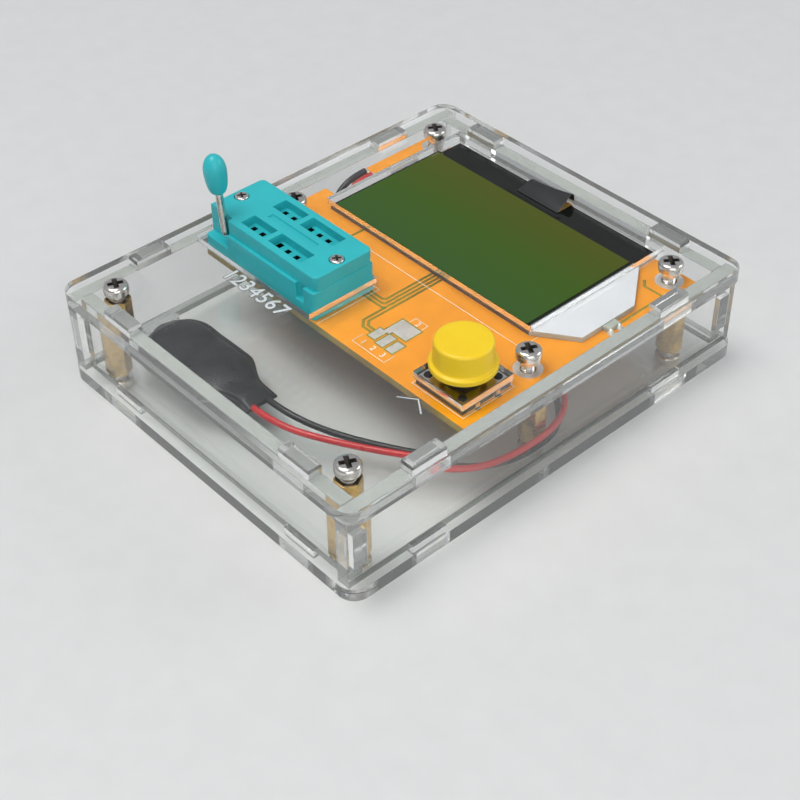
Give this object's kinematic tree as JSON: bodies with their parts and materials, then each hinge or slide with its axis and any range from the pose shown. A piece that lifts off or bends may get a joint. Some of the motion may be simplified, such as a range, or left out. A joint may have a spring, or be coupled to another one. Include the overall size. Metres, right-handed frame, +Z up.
{
  "type": "component tester",
  "caption": "Component tester in a clear tabbed case, with a lever test socket, a display, a push button and a battery clip on leads.",
  "frame": {"origin": "under the middle of the case, on the table that the heads of the bottom screws stand on", "axes": "+X to the right along the short side, +Y towards the display's rear edge, +Z up"},
  "size_m": [0.083, 0.099, 0.0423],
  "materials": {
    "clear_sheet": "polished clear acrylic sheet with cut edges",
    "brass": "turned brass",
    "zinc_screw": "zinc-plated steel",
    "board": "orange-yellow solder mask over glass laminate",
    "black_package": "black moulded plastic",
    "metal_can": "tinned or plated sheet metal",
    "ceramic": "tan ceramic",
    "light_guide": "white translucent plastic",
    "display_glass": "thin display glass",
    "display_film": "dark green polarising film",
    "flex": "amber flexible circuit",
    "black_tape": "black adhesive tape",
    "socket_teal": "moulded teal plastic",
    "slider_teal": "moulded teal plastic",
    "yellow_cap": "moulded yellow plastic",
    "clip_vinyl": "soft black vinyl",
    "red_insulation": "red wire insulation",
    "black_insulation": "black wire insulation"
  },
  "bodies": {
    "case": {"top_plate": "clear_sheet", "bottom_plate": "clear_sheet", "front_wall": "clear_sheet", "rear_wall": "clear_sheet", "left_wall": "clear_sheet", "right_wall": "clear_sheet", "corner_posts": "brass", "board_posts": "brass", "top_corner_screws": "zinc_screw", "top_board_screws": "zinc_screw", "bottom_screws": "zinc_screw", "circuit_board": "board", "microcontroller": "black_package", "crystal": "metal_can", "voltage_regulator": "black_package", "voltage_reference": "black_package", "switching_transistors": "black_package", "test_resistors": "black_package", "chip_capacitors": "ceramic", "light_guide": "light_guide", "backlight_led": "light_guide", "lcd_rear_polariser": "display_film", "lcd_rear_glass": "display_glass", "lcd_front_glass": "display_glass", "lcd_front_polariser": "display_film", "lcd_driver_chip": "black_package", "lcd_flex": "flex", "lcd_tape": "black_tape", "socket_base": "socket_teal", "socket_cover": "socket_teal", "socket_screws": "zinc_screw", "front_contacts": "metal_can", "rear_contacts": "metal_can", "switch_housing": "black_package", "switch_cover": "metal_can", "switch_dome": "metal_can", "switch_legs": "metal_can", "clip_pad": "clip_vinyl", "snap_stud": "metal_can", "snap_ring": "metal_can", "red_wire": "red_insulation", "black_wire": "black_insulation", "lead_solder": "metal_can"},
    "lever": {"lever_wire": "metal_can", "lever_knob": "socket_teal"},
    "slider": {"socket_slider": "slider_teal"},
    "button": {"switch_plunger": "black_package", "button_cap": "yellow_cap"}
  },
  "joints": [
    {"name": "lever_hinge", "type": "hinge", "parent": "case", "child": "lever", "pos_m": [-0.0304, -0.0183, 0.0252], "axis": [0, -1, 0], "range_deg": [0, 78]},
    {"name": "slider_slide", "type": "slide", "parent": "case", "child": "slider", "axis": [1, 0, 0], "range_m": [0, 0.00095]},
    {"name": "button_press", "type": "slide", "parent": "case", "child": "button", "axis": [0, 0, -1], "range_m": [0, 0.0003], "stiffness_N_per_m": 4000, "springref_m": -0.0002}
  ],
  "couplings": [
    {"joint": "slider_slide", "follows": "lever_hinge", "m_per_rad": 0.0006978}
  ]
}
